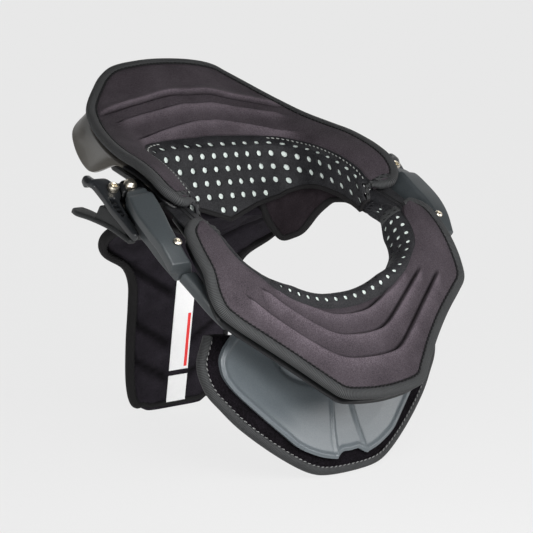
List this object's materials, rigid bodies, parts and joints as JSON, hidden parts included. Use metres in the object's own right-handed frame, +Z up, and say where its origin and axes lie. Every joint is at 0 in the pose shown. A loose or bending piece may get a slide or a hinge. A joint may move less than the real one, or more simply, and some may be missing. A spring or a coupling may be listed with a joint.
{
  "type": "karting neck brace",
  "caption": "Neck brace for karting: padded rear and front tables round a perforated neck opening, side latches, a back pad and a chest plate.",
  "frame": {"origin": "on the floor under the middle of the brace's box, as it stands on its chest pad and back pad", "axes": "+Z up, the wearer faces -Y, +X is the wearer's left"},
  "size_m": [0.3144, 0.3164, 0.3135],
  "materials": {
    "table_cloth": "brushed neoprene",
    "edge_tape": "sewn binding tape",
    "perforated_skin": "perforated synthetic skin",
    "pale_foam": "felted foam",
    "gloss_shell": "moulded, glossy",
    "black_plastic": "moulded, satin",
    "slate_plastic": "moulded, satin",
    "lever_plastic": "moulded, satin",
    "tab_rubber": "soft rubber",
    "quilted_cloth": "quilted mesh",
    "white_cloth": "woven patch",
    "nickel": "nickel plated"
  },
  "bodies": {
    "rear": {"rear_table_pad": "table_cloth", "rear_table_binding": "edge_tape", "rear_shell": "gloss_shell", "rear_neck_liner": "perforated_skin", "rear_neck_wall": "pale_foam", "rear_arm_left": "black_plastic", "rear_arm_right": "black_plastic", "pivot_rivet_left": "nickel", "pivot_rivet_right": "nickel", "shoulder_pad_left": "quilted_cloth", "shoulder_pad_right": "quilted_cloth", "back_pad": "quilted_cloth", "back_binding": "edge_tape", "back_strut": "black_plastic", "label_long": "white_cloth", "label_short": "white_cloth"},
    "front": {"front_table_pad": "table_cloth", "front_table_binding": "edge_tape", "front_shell": "black_plastic", "front_neck_liner": "perforated_skin", "front_neck_wall": "pale_foam", "arm_cover_left": "slate_plastic", "arm_cover_right": "slate_plastic", "arm_screw_left": "nickel", "arm_screw_right": "nickel", "front_arm_left": "slate_plastic", "front_arm_right": "slate_plastic", "latch_base_left": "black_plastic", "latch_base_right": "black_plastic", "chest_plate": "slate_plastic", "chest_pad": "quilted_cloth", "chest_binding": "edge_tape", "chest_bracket": "black_plastic"},
    "latch_left": {"latch_lever_left": "lever_plastic", "latch_screw_left": "nickel", "pull_tab_left": "tab_rubber"},
    "latch_right": {"latch_lever_right": "lever_plastic", "latch_screw_right": "nickel", "pull_tab_right": "tab_rubber"}
  },
  "joints": [
    {"name": "front_swing", "type": "hinge", "parent": "rear", "child": "front", "pos_m": [0.126, 0.00461, 0.21881], "axis": [0, -0.6115, 0.7912], "range_deg": [0, 35]},
    {"name": "latch_left_turn", "type": "hinge", "parent": "front", "child": "latch_left", "pos_m": [0.142, 0.00303, 0.21758], "axis": [0, -0.6115, 0.7912], "range_deg": [0, 15]},
    {"name": "latch_right_turn", "type": "hinge", "parent": "front", "child": "latch_right", "pos_m": [-0.142, 0.00303, 0.21758], "axis": [0, 0.6115, -0.7912], "range_deg": [0, 15]}
  ]
}
